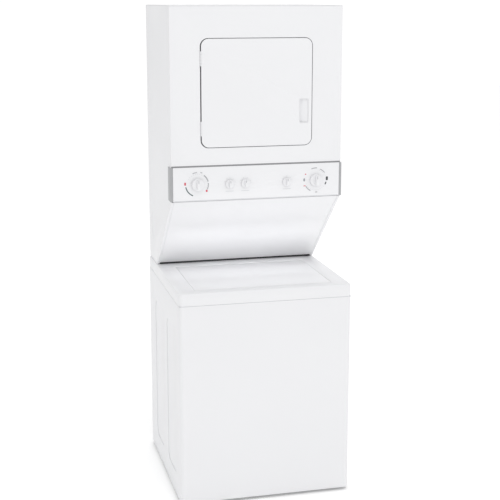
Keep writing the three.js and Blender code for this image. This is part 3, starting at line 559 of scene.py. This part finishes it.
# a pale line where the top cover meets the cabinet: painted light that lifts the shadow in the seam
coverSeam = dict(low=(-0.3403, -0.3458, 0.8058), high=(0.3403, 0.3446, 0.8082), corner=0.0138,
                 holeLow=(-0.334, -0.3395, 0.80), holeHigh=(0.334, 0.3383, 0.82), holeCorner=0.0075)
band = roundSlab(coverSeam["low"], coverSeam["high"], coverSeam["corner"], 0, axis=2, corners=8)
cutOut(band, roundSlab(coverSeam["holeLow"], coverSeam["holeHigh"], coverSeam["holeCorner"], 0, axis=2,
                       corners=8))
finishPiece(band, "cover_seam_painted_light", "cabinet", "grey_trim", inksAndShades["paleInkAndLight"])

# the gasket round the dryer's doorway
doorway = dict(low=(-0.170, -0.1768, 1.423), high=(0.170, -0.1752, 1.765), corner=0.09, edge=0.0004,
               holeLow=(-0.163, -0.19, 1.430), holeHigh=(0.163, -0.16, 1.758), holeCorner=0.083)
gasket = roundSlab(doorway["low"], doorway["high"], doorway["corner"], doorway["edge"], corners=12)
cutOut(gasket, roundSlab(doorway["holeLow"], doorway["holeHigh"], doorway["holeCorner"], 0, corners=12))
finishPiece(gasket, "doorway_gasket", "cabinet", "grey_plastic")
print("door fittings made")

drumLow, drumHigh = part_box("dryer_drum")
drumZ = (drumLow[2] + drumHigh[2]) / 2
drumRadius = (drumHigh[2] - drumLow[2]) / 2


def turnedPiece(profile, axis, centre, steps=96):
    # a closed profile of (radius, level) corners spun all the way round its axis
    bpy.ops.mesh.primitive_circle_add(vertices=len(profile), radius=1, fill_type="NGON")
    piece = bpy.context.object
    for vertex, (radius, level) in zip(piece.data.vertices, profile):
        vertex.co = Vector(centre) + Vector((radius, 0, 0)) + Vector(axis) * level
    bpy.ops.object.mode_set(mode="EDIT")
    bpy.ops.mesh.select_all(action="SELECT")
    bpy.ops.mesh.delete(type="ONLY_FACE")
    bpy.ops.mesh.select_all(action="SELECT")
    bpy.ops.mesh.spin(steps=steps, angle=2 * math.pi, center=centre, axis=axis)
    bpy.ops.mesh.select_all(action="SELECT")
    bpy.ops.mesh.remove_doubles(threshold=0.000005)
    bpy.ops.mesh.normals_make_consistent(inside=False)
    bpy.ops.object.mode_set(mode="OBJECT")
    return piece


# the belt runs in a shallow track, and a dished ring stiffens the back
drum = dict(wall=0.002, mouth=0.236, shaftHole=0.0106, track=(0.09, 0.094, 0.134, 0.138), trackDeep=0.0015,
            dish=(0.15, 0.16, 0.2, 0.21), dishDeep=0.006)
front, back = drumLow[1], drumHigh[1]
inside = back - drum["wall"]
trackStart, trackIn, trackOut, trackEnd = drum["track"]
dishStart, dishIn, dishOut, dishEnd = drum["dish"]
drumShell = turnedPiece([
    (drum["mouth"], front), (drumRadius - 0.003, front), (drumRadius, front + 0.003),
    (drumRadius, trackStart), (drumRadius - drum["trackDeep"], trackIn),
    (drumRadius - drum["trackDeep"], trackOut), (drumRadius, trackEnd),
    (drumRadius, back - 0.004), (drumRadius - 0.004, back), (drum["shaftHole"], back),
    (drum["shaftHole"], inside), (dishStart, inside), (dishIn, inside - drum["dishDeep"]),
    (dishOut, inside - drum["dishDeep"]), (dishEnd, inside), (drumRadius - 0.006, inside),
    (drumRadius - 0.004, back - 0.006), (drumRadius - 0.004, front + 0.005),
    (drum["mouth"] + 0.002, front + 0.0025),
], (0, 1, 0), (0, 0, drumZ))
rib = dict(turns=(0, 120, 240), halfWidth=0.034, front=-0.102, back=0.232, crest=0.232, corner=0.004,
           crestZone=0.25, middle=0.065, narrow=0.36, shorten=0.93, edge=0.007)
lifters = []
for turn in rib["turns"]:
    lifter = roundSlab((-rib["halfWidth"], rib["front"], drumZ + rib["crest"]),
                       (rib["halfWidth"], rib["back"], drumZ + drumRadius - 0.003), rib["corner"], 0, corners=3)
    bpy.ops.object.mode_set(mode="EDIT")
    mesh = bmesh.from_edit_mesh(lifter.data)
    for vertex in mesh.verts:  # the crest is narrower and shorter than the foot
        if vertex.co.z < drumZ + rib["crestZone"]:
            vertex.co.x *= rib["narrow"]
            vertex.co.y = rib["middle"] + (vertex.co.y - rib["middle"]) * rib["shorten"]
    bmesh.update_edit_mesh(lifter.data)
    bpy.ops.object.mode_set(mode="OBJECT")
    roundEdges(lifter, rib["edge"], 4, 35)
    bpy.ops.object.select_all(action="DESELECT")
    lifter.select_set(True)
    bpy.ops.transform.rotate(value=math.radians(turn), orient_axis="Y", center_override=(0, 0, drumZ))
    lifters.append(lifter)
drumPiece = finishPiece(mergePieces([drumShell] + lifters), "dryer_drum_finish", "drum", "enamel_tub")
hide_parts("dryer_drum")
vent = dict(radius=0.0035, sunk=0.0002, proud=0.0004, rings=((0.06, 12), (0.085, 18), (0.11, 24), (0.135, 30)))
vents = []
for ring, count in vent["rings"]:
    for i in range(count):
        around = 2 * math.pi * i / count
        x, z = ring * math.cos(around), drumZ + ring * math.sin(around)
        vents.append(roundBar(vent["radius"], (x, inside - vent["sunk"], z),
                              (x, inside + vent["proud"], z), 0, 8))
# dark discs on the drum's back: painted shade standing for the dark seen through the vent holes
finishPiece(mergePieces(vents), "drum_vent_hole_shade", "drum", "black_plastic", inksAndShades["darkInkAndHoleShade"], smooth=0)

basketLow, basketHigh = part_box("wash_basket")
tubY = (basketLow[1] + basketHigh[1]) / 2
basketRadius = (basketHigh[0] - basketLow[0]) / 2
basket = dict(wall=0.0025, shaftHole=0.0124, hub=0.028, hubTop=0.258, underFloor=0.246, floor=0.249)
inner = basketRadius - basket["wall"]
basketPiece = turnedPiece([
    (basket["shaftHole"], basketLow[2]), (0.045, basketLow[2]), (0.05, basket["underFloor"]),
    (basketRadius - 0.012, basket["underFloor"]), (basketRadius - 0.003, 0.2495), (basketRadius, 0.258),
    (basketRadius, basketHigh[2]), (inner, basketHigh[2]), (inner, 0.26), (basketRadius - 0.005, 0.2525),
    (basketRadius - 0.013, basket["floor"]), (basket["hub"], basket["floor"]),
    (basket["hub"], basket["hubTop"]), (basket["shaftHole"], basket["hubTop"]),
], (0, 0, 1), (0, tubY, 0))
finishPiece(basketPiece, "wash_basket_finish", "basket", "enamel_tub")
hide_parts("wash_basket")
drain = dict(radius=0.003, rows=8, around=32, lowest=0.31, pitch=0.047, proud=0.0003, sunk=0.0008)
drains = []
for row in range(drain["rows"]):
    for i in range(drain["around"]):  # every other row is shifted by half a step
        turn = 2 * math.pi * (i + 0.5 * (row % 2)) / drain["around"]
        out = Vector((math.cos(turn), math.sin(turn), 0))
        at = Vector((0, tubY, drain["lowest"] + row * drain["pitch"]))
        drains.append(roundBar(drain["radius"], at + out * (inner - drain["proud"]),
                               at + out * (inner + drain["sunk"]), 0, 8))
# dark discs on the basket's wall: painted shade standing for the dark seen through the drain holes
finishPiece(mergePieces(drains), "basket_drain_hole_shade", "basket", "black_plastic", inksAndShades["darkInkAndHoleShade"], smooth=0)

# one edge, wound round the agitator's post and thickened
vane = dict(inner=(0.0425, 0, 0.485), outer=(0.062, 0, 0.488), turn=430, climb=0.1, steps=72, thick=0.004,
            edge=0.0012)
bpy.ops.mesh.primitive_plane_add(size=1, location=(0, tubY, 0))
spiral = bpy.context.object
bpy.ops.object.transform_apply(location=True, rotation=True, scale=True)
bpy.ops.object.mode_set(mode="EDIT")
mesh = bmesh.from_edit_mesh(spiral.data)
bmesh.ops.delete(mesh, geom=list(mesh.verts)[2:], context="VERTS")
mesh.verts.ensure_lookup_table()
mesh.verts[0].co = vane["inner"]
mesh.verts[1].co = vane["outer"]
bmesh.update_edit_mesh(spiral.data)
bpy.ops.object.mode_set(mode="OBJECT")
applyModifier(spiral, "SCREW", angle=math.radians(vane["turn"]), screw_offset=vane["climb"],
              steps=vane["steps"], render_steps=vane["steps"], axis="Z")
applyModifier(spiral, "SOLIDIFY", thickness=vane["thick"], offset=0)
roundEdges(spiral, vane["edge"], 2, 50)
spiral.location.y = tubY
finishPiece(spiral, "agitator_spiral", "agitator_body", "white_plastic")
print("drum, basket and agitator made")

screw = dict(flange=0.0062, flangeThick=0.0008, head=0.0042, headFoot=0.0006, headTop=0.0026, sunk=0.0001)


def hexScrew(x, face, z):
    at, outward = Vector((x, face - screw["sunk"], z)), Vector((0, 1, 0))
    flange = roundBar(screw["flange"], at, at + outward * screw["flangeThick"], 0.0003, 24)
    head = roundBar(screw["head"], at + outward * screw["headFoot"], at + outward * screw["headTop"], 0.0005, 6)
    return mergePieces([flange, head])


washerBack = 0.3446  # the flat of the back panel, which its drain collar stands out from
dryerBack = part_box("dryer_back_panel")[1][1]
washerPlaces = [(x, z) for x in (0.14, 0.29) for z in (0.03, 0.79)]
dryerPlaces = [(0.326, 0.9), (0.326, 1.24), (0.326, 1.58), (0.326, 1.89), (0.12, 1.9)]
washerScrews = [hexScrew(side * x, washerBack, z) for side in (-1, 1) for x, z in washerPlaces]
dryerScrews = [hexScrew(side * x, dryerBack, z) for side in (-1, 1) for x, z in dryerPlaces]
finishPiece(mergePieces(dryerScrews), "dryer_back_screws", "cabinet", "steel")
finishPiece(mergePieces(washerScrews), "washer_back_screws", "cabinet", "steel")
print("screws made")
